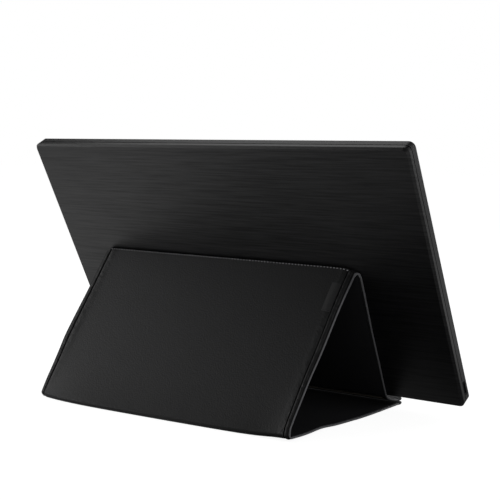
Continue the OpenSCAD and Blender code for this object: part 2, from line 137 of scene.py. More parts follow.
def hairlineAbs():
    material, tree, surface, place = startMaterial("hairlineAbs", {"IOR": 1.5})
    lined = addNode(tree, "ShaderNodeMapping",
                    {"Rotation": (lean, 0, 0),
                     "Scale": [1 / (hairline[key] * mm) for key in ("length", "depth", "pitch")]},
                    {"Vector": place})
    streaks = addNode(tree, "ShaderNodeTexNoise", {"Scale": 1.0, "Detail": 4.0, "Roughness": 0.6},
                      {"Vector": lined.outputs["Vector"]})
    tree.links.new(blendColours(tree, streaks.outputs["Fac"], hairline["low"], hairline["high"]),
                   surface.inputs["Base Color"])
    wearAndPaintedLight = addNode(tree, "ShaderNodeMapRange",
                   {"From Min": 0.3, "From Max": 0.7, "To Min": hairline["roughness"][0],
                    "To Max": hairline["roughness"][1]}, {"Value": streaks.outputs["Fac"]})
    tree.links.new(wearAndPaintedLight.outputs["Result"], surface.inputs["Roughness"])
    # the streaks also take the gloss up and down, since a smooth room hardly shows their bump
    gloss = addNode(tree, "ShaderNodeMapRange",
                    {"From Min": 0.35, "From Max": 0.65, "To Min": hairline["gloss"][0],
                     "To Max": hairline["gloss"][1]}, {"Value": streaks.outputs["Fac"]})
    tree.links.new(gloss.outputs["Result"], surface.inputs["Specular IOR Level"])
    raised = addNode(tree, "ShaderNodeBump", {"Strength": 0.5, "Distance": 0.05 * mm},
                     {"Height": streaks.outputs["Fac"]})
    tree.links.new(raised.outputs["Normal"], surface.inputs["Normal"])
    return material


# Spark-eroded ABS: an even, matte moulded grain
def mouldedAbs(name, low, high, roughness):
    material, tree, surface, place = startMaterial(name, {"IOR": 1.5, "Roughness": roughness})
    grain = addNode(tree, "ShaderNodeTexNoise", {"Scale": 1 / (0.6 * mm), "Detail": 2.0},
                    {"Vector": place})
    cloud = addNode(tree, "ShaderNodeTexNoise", {"Scale": 1 / (25 * mm), "Detail": 2.0},
                    {"Vector": place})
    tree.links.new(blendColours(tree, cloud.outputs["Fac"], low, high), surface.inputs["Base Color"])
    raised = addNode(tree, "ShaderNodeBump", {"Strength": 0.3, "Distance": 0.03 * mm},
                     {"Height": grain.outputs["Fac"]})
    tree.links.new(raised.outputs["Normal"], surface.inputs["Normal"])
    return material


# Polyurethane leatherette, embossed and drawn tight over board: soft sheen, pebble grain, small puckers
# beside the creases. An attribute paints a pale highlight on rolled edges and turns the gloss down in the
# creases as painted shade
leather = {"low": "#0e0e0f", "high": "#151516", "wearAndPaintedLight": "#6a6a6d", "pebble": 1.3,
           "roughness": (0.45, 0.61), "gloss": 0.5, "shadedCreaseGloss": 0.08,
           "puckerPitch": 5.5, "puckerFrom": 5.5, "puckerTo": 16.0}


def leatherette():
    material, tree, surface, place = startMaterial(
        "polyurethaneLeatherette", {"IOR": 1.48, "Sheen Weight": 0.12, "Sheen Roughness": 0.5})
    surface.inputs["Sheen Tint"].default_value = linear("#8c8c90")
    cloud = addNode(tree, "ShaderNodeTexNoise", {"Scale": 1 / (28 * mm), "Detail": 3.0},
                    {"Vector": place})
    # painted light: this attribute paints rolled edges paler as a highlight, and below zero it dulls
    # creases as painted shade
    wearAndPaintedLight = addNode(tree, "ShaderNodeAttribute", attribute_name="paintedEdgeLight").outputs["Fac"]
    body = blendColours(tree, cloud.outputs["Fac"], leather["low"], leather["high"])
    edged = addNode(tree, "ShaderNodeMix", {7: linear(leather["wearAndPaintedLight"])}, {0: wearAndPaintedLight, 6: body},
                    data_type="RGBA").outputs[2]
    tree.links.new(edged, surface.inputs["Base Color"])
    # painted shade: less gloss where the painted light value is below zero
    dull = addNode(tree, "ShaderNodeMapRange",
                   {"From Min": -1.0, "From Max": 0.0, "To Min": leather["shadedCreaseGloss"],
                    "To Max": leather["gloss"]}, {"Value": wearAndPaintedLight})
    tree.links.new(dull.outputs["Result"], surface.inputs["Specular IOR Level"])
    pebble = addNode(tree, "ShaderNodeTexVoronoi",
                     {"Scale": 1 / (leather["pebble"] * mm), "Smoothness": 0.6},
                     {"Vector": place}, feature="SMOOTH_F1")
    fine = addNode(tree, "ShaderNodeTexNoise", {"Scale": 1 / (0.8 * mm), "Detail": 3.0},
                   {"Vector": place})
    rubbed = addNode(tree, "ShaderNodeMapRange",
                     {"From Min": 0.3, "From Max": 0.7, "To Min": leather["roughness"][0],
                      "To Max": leather["roughness"][1]}, {"Value": fine.outputs["Fac"]})
    tree.links.new(rubbed.outputs["Result"], surface.inputs["Roughness"])
    # puckers: slanted waves that fade in beside the crease and out towards the middle
    across = addNode(tree, "ShaderNodeSeparateXYZ", links={"Vector": place})
    fromMiddle = addNode(tree, "ShaderNodeMath", {1: middleX * mm}, {0: across.outputs["X"]},
                         operation="SUBTRACT")
    away = addNode(tree, "ShaderNodeMath", links={0: fromMiddle.outputs[0]}, operation="ABSOLUTE")
    near = addNode(tree, "ShaderNodeMapRange",
                   {"From Min": (halfCover - leather["puckerTo"]) * mm,
                    "From Max": (halfCover - leather["puckerFrom"]) * mm}, {"Value": away.outputs[0]},
                   interpolation_type="SMOOTHSTEP")
    slanted = addNode(tree, "ShaderNodeMapping", {"Rotation": (0.5, 0.35, 0.3)}, {"Vector": place})
    waves = addNode(tree, "ShaderNodeTexNoise", {"Scale": 1 / (leather["puckerPitch"] * mm),
                                                 "Detail": 1.5, "Distortion": 0.8},
                    {"Vector": slanted.outputs["Vector"]})
    puckers = addNode(tree, "ShaderNodeMath",
                      links={0: waves.outputs["Fac"], 1: near.outputs["Result"]}, operation="MULTIPLY")
    first = addNode(tree, "ShaderNodeBump", {"Strength": 0.9, "Distance": 1.3 * mm},
                    {"Height": puckers.outputs[0]})
    second = addNode(tree, "ShaderNodeBump", {"Strength": 0.8, "Distance": 0.14 * mm},
                     {"Height": pebble.outputs["Distance"], "Normal": first.outputs["Normal"]})
    third = addNode(tree, "ShaderNodeBump", {"Strength": 0.3, "Distance": 0.04 * mm},
                    {"Height": fine.outputs["Fac"], "Normal": second.outputs["Normal"]})
    tree.links.new(third.outputs["Normal"], surface.inputs["Normal"])
    return material


# Brushed microfibre lining: black, without gloss
def microfibre():
    material, tree, surface, place = startMaterial(
        "microfibreLining", {"Roughness": 0.95, "Specular IOR Level": 0.15,
                             "Sheen Weight": 0.15, "Sheen Roughness": 0.6})
    surface.inputs["Sheen Tint"].default_value = linear("#3a3a3e")
    nap = addNode(tree, "ShaderNodeTexNoise", {"Scale": 1 / (0.9 * mm), "Detail": 4.0},
                  {"Vector": place})
    tree.links.new(blendColours(tree, nap.outputs["Fac"], "#19191b", "#262628"),
                   surface.inputs["Base Color"])
    raised = addNode(tree, "ShaderNodeBump", {"Strength": 0.5, "Distance": 0.1 * mm},
                     {"Height": nap.outputs["Fac"]})
    tree.links.new(raised.outputs["Normal"], surface.inputs["Normal"])
    return material


# Woven polyester tape: two thread directions, slightly shiny
def wovenTape():
    material, tree, surface, place = startMaterial(
        "wovenPolyesterTape", {"Roughness": 0.5, "IOR": 1.5, "Sheen Weight": 0.2})
    turned = addNode(tree, "ShaderNodeMapping", {"Rotation": (-radians(turns["rear"]), 0, 0)},
                     {"Vector": place})
    warp = addNode(tree, "ShaderNodeTexWave", {"Scale": 1 / (1.8 * mm), "Distortion": 0.4},
                   {"Vector": turned.outputs["Vector"]}, bands_direction="X")
    weft = addNode(tree, "ShaderNodeTexWave", {"Scale": 1 / (1.4 * mm), "Distortion": 0.4},
                   {"Vector": turned.outputs["Vector"]}, bands_direction="Y")
    crossed = addNode(tree, "ShaderNodeMath", links={0: warp.outputs["Fac"], 1: weft.outputs["Fac"]},
                      operation="MULTIPLY")
    tree.links.new(blendColours(tree, crossed.outputs[0], "#131314", "#232325"),
                   surface.inputs["Base Color"])
    raised = addNode(tree, "ShaderNodeBump", {"Strength": 0.7, "Distance": 0.12 * mm},
                     {"Height": crossed.outputs[0]})
    tree.links.new(raised.outputs["Normal"], surface.inputs["Normal"])
    return material


# Bonded polyester thread: grey, twisted, a little shine
def sewingThread():
    material, tree, surface, place = startMaterial(
        "bondedThread", {"Roughness": 0.45, "IOR": 1.5, "Sheen Weight": 0.3})
    twist = addNode(tree, "ShaderNodeTexWave", {"Scale": 1 / (1.0 * mm), "Distortion": 1.0},
                    {"Vector": place}, bands_direction="DIAGONAL")
    tree.links.new(blendColours(tree, twist.outputs["Fac"], "#7c7c80", "#a6a6aa"),
                   surface.inputs["Base Color"])
    raised = addNode(tree, "ShaderNodeBump", {"Strength": 0.5, "Distance": 0.08 * mm},
                     {"Height": twist.outputs["Fac"]})
    tree.links.new(raised.outputs["Normal"], surface.inputs["Normal"])
    return material


# Matte polariser on glass: near black, a soft wide reflection
def mattePolariser():
    material, tree, surface, place = startMaterial(
        "mattePolariser", {"IOR": 1.5, "Roughness": 0.3, "Coat Weight": 0.2, "Coat Roughness": 0.35})
    etch = addNode(tree, "ShaderNodeTexNoise", {"Scale": 1 / (0.5 * mm), "Detail": 2.0},
                   {"Vector": place})
    tree.links.new(blendColours(tree, etch.outputs["Fac"], "#08090b", "#0c0d10"),
                   surface.inputs["Base Color"])
    raised = addNode(tree, "ShaderNodeBump", {"Strength": 0.15, "Distance": 0.02 * mm},
                     {"Height": etch.outputs["Fac"]})
    tree.links.new(raised.outputs["Normal"], surface.inputs["Normal"])
    return material


finishes = {
    "rear_shell": hairlineAbs(),
    "front_bezel": mouldedAbs("mouldedAbsBezel", "#161617", "#1b1b1d", 0.45),
    "power_key": mouldedAbs("mouldedAbsKey", "#242426", "#2b2b2e", 0.38),
    "front_glass": mattePolariser(),
    "bezel_tape": simpleFinish("acrylicFoamTape", "#121212", "#1c1c1c", 0.8, 0.5),
    "transistor_glass": simpleFinish("cellGlass", "#0b0d12", "#12151c", 0.15, 8.0, 0.02, IOR=1.52),
    "diffuser_films": simpleFinish("opalPetFilm", "#e6e6e0", "#f2f2ee", 0.4, 3.0, 0.05),
    "light_guide": simpleFinish("castAcrylic", "#cfe0e2", "#dcecee", 0.12, 2.0, 0.05, IOR=1.49),
    "reflector_sheet": simpleFinish("whitePetFoil", "#e9e9e7", "#f6f6f4", 0.35, 3.0, 0.05),
    "backlight_strip": simpleFinish("whiteSolderMask", "#d8d3ba", "#ebe6cf", 0.5, 1.0),
    "panel_frame": simpleFinish("whitePolycarbonate", "#d9d9d5", "#e6e6e2", 0.5, 1.2),
    "panel_back_plate": simpleFinish("rolledAluminium", "#b2b5b9", "#c4c7cb", 0.35, 1.5, 0.1, 1.0),
    "driver_board": simpleFinish("greenSolderMask", "#154a2e", "#1f5a3a", 0.35, 4.0, 0.1),
    "board_chips": simpleFinish("epoxyChip", "#141416", "#1d1d20", 0.55, 0.5),
    "shield_can": simpleFinish("tinnedSteel", "#a9abad", "#bcbec0", 0.3, 1.5, 0.1, 1.0),
    "usb_socket_shell": simpleFinish("nickelPlatedSteel", "#b9bbbe", "#d0d2d5", 0.22, 1.0, 0.1, 1.0),
    "usb_socket_tongue": simpleFinish("glassFilledNylon", "#101012", "#19191c", 0.5, 0.5),
    "board_screws": simpleFinish("zincPlatedSteel", "#8d9094", "#a2a5a9", 0.32, 0.8, 0.1, 1.0),
    "panel_ribbon": simpleFinish("polyimideRibbon", "#b98a4a", "#c99a58", 0.35, 2.0, 0.1),
    "key_switch": simpleFinish("switchNylon", "#242428", "#303034", 0.5, 0.6),
    "light_pipe": simpleFinish("frostedAcrylic", "#c6d2d6", "#dfe8ea", 0.35, 0.8, 0.1, IOR=1.49),
    "foam_pads": simpleFinish("blackPuFoam", "#2a2a2d", "#3a3a3e", 0.95, 0.4, 0.6),
    "base_keepers": simpleFinish("coldRolledSteel", "#9a9da1", "#b0b3b7", 0.38, 1.2, 0.1, 1.0),
    "ledge_magnets": simpleFinish("nickelPlatedMagnet", "#a9abae", "#bfc1c4", 0.25, 1.0, 0.1, 1.0),
}
finishes["main_board"] = finishes["key_board"] = finishes["driver_board"]
finishes["key_ribbon"] = finishes["panel_ribbon"]
leatherFinish, liningFinish = leatherette(), microfibre()
tapeFinish, threadFinish = wovenTape(), sewingThread()
boardFinish = simpleFinish("greyBoard", "#4d4942", "#5e594f", 0.9, 0.8, 0.4)
for name, finish in finishes.items():
    nodes[name].data.materials.clear()
    nodes[name].data.materials.append(finish)
print("materials ready:", len(bpy.data.materials))


# How the cover sits on the table. Each table gives a shift in mm at places across it, from -1 at
# the socket's end to 1 at the other: the top fold along its lean, and the foot backwards and up.
# The edge tables give how far an edge stands out, by height, or by depth for the base. The ledge
# curls by its own length, and the base's edge has one low wave
sag = {
    "ridge": [(-1.0, -3.6), (-0.96, -1.8), (-0.91, -0.3), (-0.5, 0.2), (0.0, 0.5), (0.5, 0.5),
              (0.93, 0.6), (0.97, -0.1), (1.0, -1.9)],
    "foot": [(-1.0, -3.0), (-0.85, -4.2), (-0.6, -1.4), (-0.3, 1.0), (0.0, 3.0), (0.5, 5.2),
             (0.75, 4.2), (0.88, 1.6), (1.0, -3.0)],
    "footLift": [(-1.0, 2.2), (-0.9, 1.6), (-0.75, 0.3), (-0.5, 0.0), (0.0, 0.0), (0.86, 0.0),
                 (1.0, 0.0)],
    "leftEdge": [(0.0, -3.2), (17.0, -2.3), (24.0, -2.1), (37.0, -0.9), (51.0, 0.75), (84.0, 0.9),
                 (121.0, 1.3)],
    "rearEdge": [(0.0, -3.8), (10.0, -3.6), (27.0, -3.4), (45.0, -3.3), (63.0, -2.5), (98.0, -2.3),
                 (121.0, -0.9)],
    "legEdge": [(0.0, -0.6), (13.0, -1.9), (43.0, -0.8), (73.0, 0.2), (96.0, 1.6), (121.0, 2.8)],
    "baseEdge": [(-19.0, 0.6), (5.0, 1.0), (30.0, 1.6), (52.0, 1.2), (64.0, 0.2), (85.0, -0.8),
                 (152.0, -1.0)],
    "ledge": [(0.0, 0.0), (4.0, -0.3), (9.0, -0.4), (14.6, 0.0), (17.5, 0.7), (20.3, 1.6)],
    "ledgeEdge": 2.4, "ledgeReach": 18.0,
    "wave": 1.4, "waveAt": 108.0, "waveWide": 17.0,
    "edgeFrom": 0.7,
    "ripple": 0.12, "rippleWide": 31.0, "rippleRows": 11.0, "rippleWithin": 118.0,
}


# A smooth curve through a table's points
def spread(table, u):
    u = min(max(u, table[0][0]), table[-1][0])
    k = max(i for i in range(len(table) - 1) if table[i][0] <= u)
    (u0, v0), (u1, v1) = table[k], table[k + 1]
    before, after = table[max(k - 1, 0)], table[min(k + 2, len(table) - 1)]
    m0 = (v1 - before[1]) / (u1 - before[0]) * (u1 - u0)
    m1 = (after[1] - v0) / (after[0] - u0) * (u1 - u0)
    t = (u - u0) / (u1 - u0)
    return (2 * t ** 3 - 3 * t ** 2 + 1) * v0 + (t ** 3 - 2 * t ** 2 + t) * m0 \
        + (3 * t ** 2 - 2 * t ** 3) * v1 + (t ** 3 - t ** 2) * m1


# The depth at which the line from one axis to another passes a height
def depthOn(start, end, z):
    return start[0] + (z - start[1]) * (end[0] - start[0]) / (end[1] - start[1])


# How far an edge of the cover stands out at a place in the side plane
def standsOut(u, y, z):
    behind, before = depthOn(rearAxis, topAxis, z), depthOn(crookAxis, topAxis, z)
    onRear = clamp(0.5 + (y - (behind + before) / 2) / max(behind - before, 4.0))
    if u > 0:
        return onRear * spread(sag["leftEdge"], z)
    standing = onRear * spread(sag["rearEdge"], z) + (1 - onRear) * spread(sag["legEdge"], z)
    standing += sag["ledgeEdge"] * clamp(-y / sag["ledgeReach"])
    # the base lies below the ledge in front, and runs into the rear fold behind
    lying = clamp(1 - z / 8, 1.1) if y > 20 else clamp((4.5 - z) / 1.5)
    return standing + (spread(sag["baseEdge"], y) - standing) * lying


# Moves a point of the cover as the sag tables say, and gives it in metres
def settle(x, y, z, onBase=False):
    u = (x - middleX) / halfCover
    top = topAxis[1] + foldRadius
    high = clamp((z - 16) / (top - 16), 1.03)
    low = clamp(1 - z / top, 1.03) ** 4 * clamp(y / 150, 1.03) ** 3
    edge = clamp((abs(u) - sag["edgeFrom"]) / (1 - sag["edgeFrom"])) ** 2
    slide = high * spread(sag["ridge"], u)
    across = x + u * edge * standsOut(u, y, z)
    backward = y + slide * sin(lean) + low * spread(sag["foot"], u)
    raised = z + slide * cos(lean) + low * spread(sag["footLift"], u)
    if onBase:
        raised += sag["wave"] * edge * exp(-((y - sag["waveAt"]) / sag["waveWide"]) ** 2)
    return Vector((across * mm, backward * mm, raised * mm))


# A row across the cover: the middle of the sheet at [y, z], turned by an angle
def rowAt(fold, turn, along, middle=sheetMiddle):
    t = radians(turn)
    y, z = folds[fold]
    curl = spread(sag["ledge"], along) if fold == "crook" else 0.0
    return (y + along * cos(t) - middle * sin(t), z + curl + along * sin(t) + middle * cos(t), t)


def rowsAlong(fold, turn, start, end, step, middle=sheetMiddle):
    count = max(2, round(abs(end - start) / step))
    return [rowAt(fold, turn, start + (end - start) * i / count, middle) for i in range(count + 1)]


def rowsRound(fold, turnFrom, turnTo, count):
    return [rowAt(fold, turnFrom + (turnTo - turnFrom) * i / count, 0.0) for i in range(count + 1)]


def finishMesh(name, points, faces, material, sharp=40, paintedLight=None):
    mesh = bpy.data.meshes.new(name)
    mesh.from_pydata(points, [], faces)
    if paintedLight:
        mesh.attributes.new("paintedEdgeLight", "FLOAT", "POINT").data.foreach_set("value", paintedLight)
    work = bmesh.new()
    work.from_mesh(mesh)
    bmesh.ops.remove_doubles(work, verts=work.verts, dist=1e-6)
    bmesh.ops.recalc_face_normals(work, faces=work.faces)
    work.to_mesh(mesh)
    work.free()
    mesh.shade_smooth()
    mesh.set_sharp_from_angle(angle=radians(sharp))
    mesh.materials.append(material)
    piece = bpy.data.objects.new(name, mesh)
    scene.collection.objects.link(piece)
    return piece


# A sheet swept along rows. outer and inner are the two faces of its cross-section: [x, height]
def sweepSheet(name, outer, inner, rows, material, ripple=0.0, onBase=False, sharp=40, paintedLight=None):
    points, faces = [], []
    n = len(outer)
    for r, (y, z, t) in enumerate(rows):
        for side in (outer, inner):
            for x, height in side:
                wave = ripple * sin(x / sag["rippleWide"] + 1.3) * sin(r / sag["rippleRows"] + 0.5)
                tall = height - wave * (abs(x) < sag["rippleWithin"])
                points.append(settle(x + middleX, y - tall * sin(t), z + tall * cos(t), onBase))
    for r in range(len(rows) - 1):
        a, b = 2 * n * r, 2 * n * (r + 1)
        for i in range(n - 1):
            faces.append((a + i, a + i + 1, b + i + 1, b + i))
            faces.append((a + n + i, b + n + i, b + n + i + 1, a + n + i + 1))
        faces.append((a, b, b + n, a + n))
        faces.append((a + n - 1, a + 2 * n - 1, b + 2 * n - 1, b + n - 1))
    for a in (0, 2 * n * (len(rows) - 1)):
        faces += [(a + i, a + n + i, a + n + i + 1, a + i + 1) for i in range(n - 1)]
    return finishMesh(name, points, faces, material, sharp, paintedLight and paintedLight * 2 * len(rows))


# Cross-section of the leatherette, pulled round both sides. The face is given as distance in from the edge
# and height above the panel: two creases run beside each edge. The painted light value above zero paints
# the colour paler as a highlight, and below zero it turns the gloss down as painted shade
skin = {
    "thick": 0.55,
    "middleStep": 7.0,
    "edgeWide": 0.8, "edgeHigh": 0.82, "edgeInside": 0.95, "edgeCore": 0.4, "edgeSteps": 6,
    "face": [(34, 0.0), (26, 0.04), (20, 0.14), (15.5, 0.32), (12.5, 0.46), (11, 0.48), (9.5, 0.42),
             (8.2, 0.3), (7.4, 0.16), (7.0, 0.0), (6.75, -0.4), (6.5, -0.95), (6.2, -0.95), (5.95, -0.3),
             (5.6, 0.12), (5.0, 0.32), (4.2, 0.42), (3.5, 0.38), (2.9, 0.22), (2.4, -0.04), (2.0, -0.28),
             (1.6, -0.36), (1.2, -0.28)],
    "turnedIn": [(1.2, -0.25), (1.6, -0.1), (1.9, -0.05), (2.2, -0.2)],
    "paintedHighlightRight": 0.9, "paintedShadeLeft": -0.7, "puffRight": 0.3,
}


# Painted shade in the two creases and the outer strip: their gloss is turned down, most where the creases
# are deepest
def crease(e):
    return -0.8 if e < 2.1 else -1.0 if 5.9 < e < 6.8 else 0.0


def halfSection(puff, paintedLight):
    thick, half = skin["thick"], []
    wide, inside, core = skin["edgeWide"], skin["edgeInside"], skin["edgeCore"]
    for e, proud in skin["face"]:
        proud = proud * puff if proud > 0 and e > 7 else proud
        half.append(((e, -halfSheet - proud), (max(e, inside), thick - halfSheet - proud), crease(e)))
    # the rolled edge takes the painted light given: a pale painted highlight on one side, dull painted
    # shade on the other
    for step in range(skin["edgeSteps"] + 1):
        a = radians(-80 + step * 160 / skin["edgeSteps"])
        half.append(((wide - wide * cos(a), skin["edgeHigh"] * sin(a)),
                     (inside - core * cos(a), core * sin(a)), paintedLight))
    return half + [((e, halfSheet + up), (e, halfSheet - 0.8 * thick), 0) for e, up in skin["turnedIn"]]


def skinSection(puff):
    outer, inner, wearAndPaintedLight = [], [], []
    left = [((-halfCover + a[0], a[1]), (-halfCover + b[0], b[1]), w)
            for a, b, w in reversed(halfSection(puff * skin["puffRight"], skin["paintedHighlightRight"]))]
    right = [((halfCover - a[0], a[1]), (halfCover - b[0], b[1]), w)
             for a, b, w in halfSection(puff, skin["paintedShadeLeft"])]
    span = 2 * (halfCover - skin["face"][0][0])
    count = round(span / skin["middleStep"])
    flat = [((x, -halfSheet), (x, -halfSheet + skin["thick"]), 0)
            for x in (-span / 2 + span * i / count for i in range(1, count))]
    for a, b, w in left + flat + right:
        outer.append(a)
        inner.append(b)
        wearAndPaintedLight.append(float(w))
    return outer, inner, wearAndPaintedLight


# Rear panel, top fold and leg are one skin that bends at the top fold
crookStart = lengths["leg"] - 3.6  # where the third skin takes over from the leg's
rearRows = rowsAlong("rear", turns["rear"], 0.05, lengths["rear"], 3.0)
topRows = rowsRound("top", turns["rear"], turns["leg"], 14)
legRows = rowsAlong("top", turns["leg"], 0.0, crookStart - 0.05, 3.5)
outer, inner, wearAndPaintedLight = skinSection(0.8)
standSkin = sweepSheet("standSkin", outer, inner, rearRows + topRows[1:-1] + legRows, leatherFinish,
                       sag["ripple"], paintedLight=wearAndPaintedLight)
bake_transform(standSkin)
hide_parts("rear_skin", "rear_edges", "top_fold_spine", "leg_skin", "leg_edges")

# Base and rear fold are the second skin
baseRows = rowsAlong("rear", 0.0, 4.55 - lengths["base"], 0.0, 3.5)
baseRows += rowsRound("rear", 0.0, turns["rear"], 16)[1:]
baseSkin = sweepSheet("baseSkin", outer, inner, baseRows, leatherFinish, onBase=True, paintedLight=wearAndPaintedLight)
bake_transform(baseSkin)
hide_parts("base_skin", "base_edges", "rear_fold_spine")

# Crook and ledge are the third. It bends between two places, [y, z], at its outer face
crook = {"round": 9.0, "steps": 10, "from": (2.2, 10.3), "to": (-1.2, 7.7)}


def crookRows():
    bend, radius = turns["leg"] - turns["ledge"], crook["round"]
    tangent = radius * tan(radians(bend / 2))
    rows = rowsAlong("top", turns["leg"], crookStart, lengths["leg"] - tangent, 1.0)
    y, z, t = rowAt("crook", turns["leg"], -tangent, 0.0)
    centreY, centreZ = y + radius * sin(t), z - radius * cos(t)
    for i in range(1, crook["steps"]):
        t = radians(turns["leg"] - bend * i / crook["steps"])
        rows.append((centreY - radius * sin(t), centreZ + radius * cos(t), t))
    return rows + rowsAlong("crook", turns["ledge"], tangent, lengths["ledge"] - 3.4, 1.5, 0.0)


outer, inner, wearAndPaintedLight = skinSection(0.3)
ledgeSkin = sweepSheet("ledgeSkin", outer, inner, crookRows(), leatherFinish, paintedLight=wearAndPaintedLight)
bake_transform(ledgeSkin)
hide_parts("crook_spine", "ledge_skin", "ledge_edges")
print("skins ready")


# Beaded hems close the front edges: the ledge's stops the monitor, the base's lies under it. The
# bead is a radius, and lift takes its middle away from the sheet's
hems = {
    "baseHem": {"body": "base", "node": "base_hem", "fold": "rear", "turn": 0.0,
                "middle": sheetMiddle, "tip": -lengths["base"], "towards": -1, "bead": 1.55,
                "lift": 0.45},
    "ledgeHem": {"body": "ledge", "node": "ledge_hem", "fold": "crook", "turn": turns["ledge"],
                 "middle": 0.0, "tip": lengths["ledge"] - 0.4, "towards": 1, "bead": 1.6,
                 "lift": -0.3},
}
hemLength, hemRim = 4.6, 0.25


def makeHem(name, body, node, fold, turn, middle, tip, towards, bead, lift):
    r = halfSheet
    back, centre = tip - towards * hemLength, tip - towards * bead
    neck = centre - towards * bead * 1.05
    loop = [(back, -r + hemRim), (back + towards * hemRim, -r), (neck, -0.94 * r)]
    loop += [(centre + towards * bead * cos(radians(a)), lift + bead * sin(radians(a)))
             for a in range(-120, 121, 15)]
    loop += [(neck, 0.94 * r), (back + towards * hemRim, r), (back, r - hemRim)]
    ends = [(0.0, 0.66), (0.2, 0.86), (0.6, 0.97), (1.5, 1.0)]  # rounded: [from the end, size]
    xs = [(-halfCover + e, s) for e, s in ends]
    xs += [(-halfCover + 6 + i * (2 * halfCover - 12) / 24, 1.0) for i in range(25)]
    xs += [(halfCover - e, s) for e, s in reversed(ends)]
    t = radians(turn)
    fy, fz = folds[fold]
    points, faces, n = [], [], len(loop)
    for x, size in xs:
        for along, height in loop:
            tall = middle + lift + (height - lift) * size
            curl = spread(sag["ledge"], along) if fold == "crook" else 0.0
            points.append(settle(x + middleX, fy + along * cos(t) - tall * sin(t),
                                 fz + curl + along * sin(t) + tall * cos(t), body == "base"))
    for k in range(len(xs) - 1):
        faces += [(k * n + i, k * n + (i + 1) % n, (k + 1) * n + (i + 1) % n, (k + 1) * n + i)
                  for i in range(n)]
    faces += [tuple(range(n)), tuple(range(len(points) - n, len(points)))]
    # painted highlight: the hems are painted a quarter of the way towards the pale edge colour
    piece = finishMesh(name, points, faces, leatherFinish, paintedLight=[0.25] * len(points))
    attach(piece, body)
    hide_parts(node)
    return piece


baseHem, ledgeHem = (makeHem(name, **hem) for name, hem in hems.items())


# Linings meet the turned-in edges, and the boards lie between lining and skin
layers = {
    "lining": {"half": 130.7, "low": 0.62, "high": 1.0, "finish": liningFinish, "node": "_lining",
               "slot": "lining"},
    "board": {"half": 126.0, "low": -0.5, "high": 0.5, "finish": boardFinish, "node": "_stiffener",
              "slot": "stiffening_board"},
}
# Start and end lie along the panel. Short is what its board leaves free at the end, for keepers or
# magnets, and lining is the lining's flat length in metres
panels = {
    "rear": {"body": "rear_panel", "fold": "rear", "turn": turns["rear"], "start": 1.8,
             "end": lengths["rear"] - 2.2, "middle": sheetMiddle, "short": 0.0, "lining": 0.1446},
    "leg": {"body": "leg", "fold": "top", "turn": turns["leg"], "start": 2.4,
            "end": crookStart - 0.1, "middle": sheetMiddle, "short": 0.0, "lining": 0.1226},
    "base": {"body": "base", "fold": "rear", "turn": 0.0, "start": -2.0,
             "end": 4.5 - lengths["base"], "middle": sheetMiddle, "short": -11.5, "lining": 0.1655},
    "ledge": {"body": "ledge", "fold": "crook", "turn": turns["ledge"], "start": 3.0,
              "end": lengths["ledge"] - 3.5, "middle": 0.0, "short": 11.0, "lining": 0.0138},
}


def makeLayer(name, panel, kind):
    layer = layers[kind]
    stop = panel["end"] - (panel["short"] if kind == "board" else 0.0)
    xs = [-layer["half"] + i * 2 * layer["half"] / 36 for i in range(37)]
    piece = sweepSheet(name + kind.capitalize(), [(x, layer["low"]) for x in xs],
                       [(x, layer["high"]) for x in xs],
                       rowsAlong(panel["fold"], panel["turn"], panel["start"], stop, 3.5, panel["middle"]),
                       layer["finish"], sag["ripple"] if name in ("rear", "leg") else 0.0, name == "base")
    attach(piece, panel["body"])
    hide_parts(name + layer["node"])
    return piece


for name, panel in panels.items():
    makeLayer(name, panel, "lining")
    makeLayer(name, panel, "board")

print("hems, linings and boards ready")


# Stitches along the top fold, one after another a little proud of the skin
seam = {"turn": 140.0, "in": 7.0, "pitch": 3.05, "stitch": 1.7, "thread": 1.0, "proud": 0.15,
        "seed": 5}


def seamTree():
    tree = bpy.data.node_groups.new("seamStitches", "GeometryNodeTree")
    sockets = {}
    for label, kind in (("Path", "NodeSocketGeometry"), ("Pitch", "NodeSocketFloat"),
                        ("Stitch Length", "NodeSocketFloat"), ("Thread", "NodeSocketFloat"),
                        ("Seed", "NodeSocketInt")):
        sockets[label] = tree.interface.new_socket(label, in_out="INPUT", socket_type=kind).identifier
    tree.interface.new_socket("Stitches", in_out="OUTPUT", socket_type="NodeSocketGeometry")
    given = addNode(tree, "NodeGroupInput").outputs
    path = addNode(tree, "GeometryNodeMeshToCurve", links={"Mesh": given["Path"]})
    points = addNode(tree, "GeometryNodeCurveToPoints",
                     links={"Curve": path.outputs["Curve"], "Length": given["Pitch"]}, mode="LENGTH")
    ball = addNode(tree, "GeometryNodeMeshUVSphere", {"Segments": 8, "Rings": 6, "Radius": 0.5})
    size = addNode(tree, "ShaderNodeCombineXYZ",
                   links={"X": given["Thread"], "Y": given["Thread"], "Z": given["Stitch Length"]})
    stitch = addNode(tree, "GeometryNodeTransform",
                     links={"Geometry": ball.outputs["Mesh"], "Scale": size.outputs["Vector"]})
    smooth = addNode(tree, "GeometryNodeSetShadeSmooth", links={"Geometry": stitch.outputs["Geometry"]})
    vary = addNode(tree, "FunctionNodeRandomValue", {2: 0.88, 3: 1.08},
                   {"Seed": given["Seed"]}, data_type="FLOAT")
    placed = addNode(tree, "GeometryNodeInstanceOnPoints",
                     links={"Points": points.outputs["Points"], "Instance": smooth.outputs["Geometry"],
                            "Rotation": points.outputs["Rotation"], "Scale": vary.outputs[1]})
    real = addNode(tree, "GeometryNodeRealizeInstances",
                   links={"Geometry": placed.outputs["Instances"]})
    coloured = addNode(tree, "GeometryNodeSetMaterial", {"Material": threadFinish},
                       {"Geometry": real.outputs["Geometry"]})
    addNode(tree, "NodeGroupOutput", links={"Stitches": coloured.outputs["Geometry"]})
    return tree, sockets


